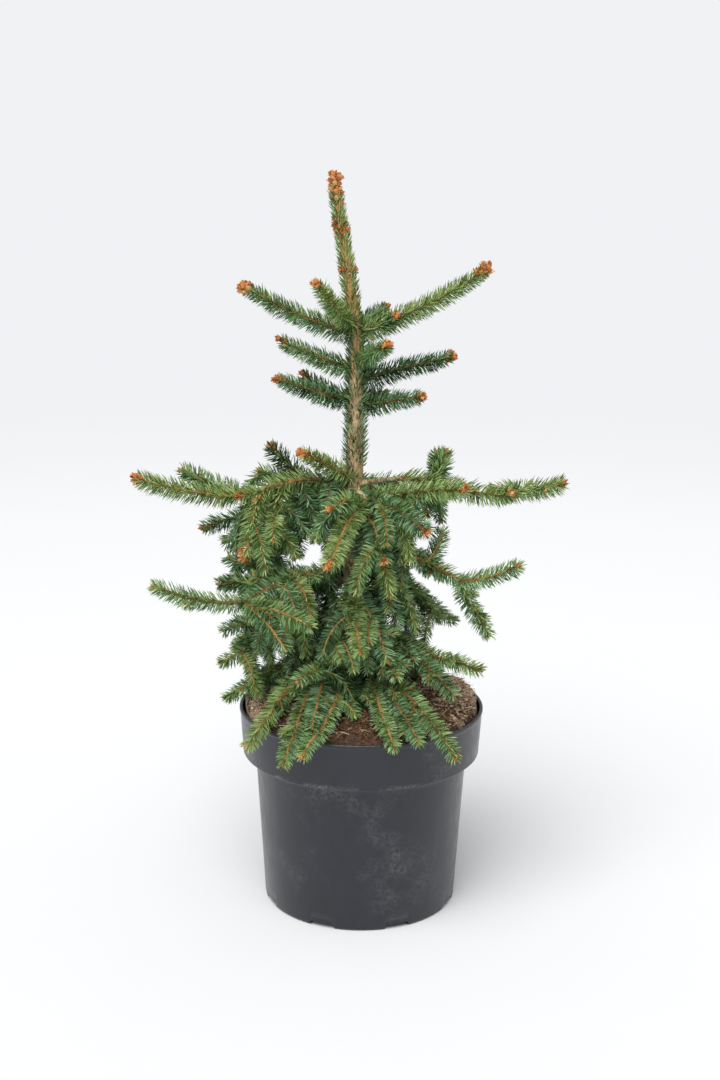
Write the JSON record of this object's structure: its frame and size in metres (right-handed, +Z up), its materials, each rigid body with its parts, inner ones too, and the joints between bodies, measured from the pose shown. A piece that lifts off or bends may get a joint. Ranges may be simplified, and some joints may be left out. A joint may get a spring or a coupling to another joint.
{
  "type": "potted weeping norway spruce",
  "caption": "Young weeping norway spruce with an upright leader, spreading arms and drooping lower boughs, growing in a round nursery pot.",
  "frame": {"origin": "middle of the pot's flat underside, on the surface it stands on", "axes": "+Z up along the trunk, the plant's front faces -Y, +X to the right seen from the front"},
  "size_m": [0.422, 0.3167, 0.736],
  "materials": {
    "pot_plastic": "satin",
    "compost": "matte",
    "coir_mulch": "matte",
    "bark": "matte",
    "needles_fresh": "matte",
    "needles_shaded": "matte"
  },
  "bodies": {
    "root": {"pot": "pot_plastic", "compost": "compost", "mulch": "coir_mulch", "trunk": "bark", "left_arm": "bark", "right_arm": "bark", "front_arm": "bark", "back_arm": "bark", "back_left_arm": "bark", "mid_left_limb": "bark", "mid_right_limb": "bark", "mid_front_limb": "bark", "back_right_limb": "bark", "back_mid_limb": "bark", "back_left_limb": "bark", "lower_left_limb": "bark", "low_side_limb": "bark", "low_front_limb": "bark", "low_right_limb": "bark", "low_back_limb": "bark", "leader_needles": "needles_fresh", "top_left_spray": "needles_fresh", "top_front_spray": "needles_fresh", "top_right_spray": "needles_fresh", "top_back_spray": "needles_fresh", "second_left_spray": "needles_fresh", "second_front_spray": "needles_fresh", "second_right_spray": "needles_fresh", "second_back_spray": "needles_fresh", "third_left_spray": "needles_fresh", "third_right_spray": "needles_fresh", "third_back_spray": "needles_fresh", "whorl_left_spray": "needles_fresh", "left_arm_spray": "needles_shaded", "left_arm_tip": "needles_shaded", "left_arm_rear": "needles_shaded", "right_arm_spray": "needles_shaded", "right_arm_tip": "needles_shaded", "front_right_spray": "needles_shaded", "front_left_spray": "needles_shaded", "back_arm_spray": "needles_shaded", "back_left_spray": "needles_shaded", "back_left_tip": "needles_shaded", "mid_left_spray": "needles_shaded", "mid_left_tip": "needles_shaded", "mid_left_hanging": "needles_shaded", "mid_right_spray": "needles_shaded", "mid_right_tip": "needles_shaded", "mid_right_hanging": "needles_shaded", "mid_front_spray": "needles_shaded", "back_right_spray": "needles_shaded", "back_mid_spray": "needles_shaded", "back_left_mid_spray": "needles_shaded", "lower_left_spray": "needles_shaded", "low_side_spray": "needles_shaded", "low_side_hanging": "needles_shaded", "low_front_left_spray": "needles_shaded", "low_front_right_spray": "needles_shaded", "low_right_spray": "needles_shaded", "low_back_spray": "needles_shaded"}
  },
  "joints": []
}
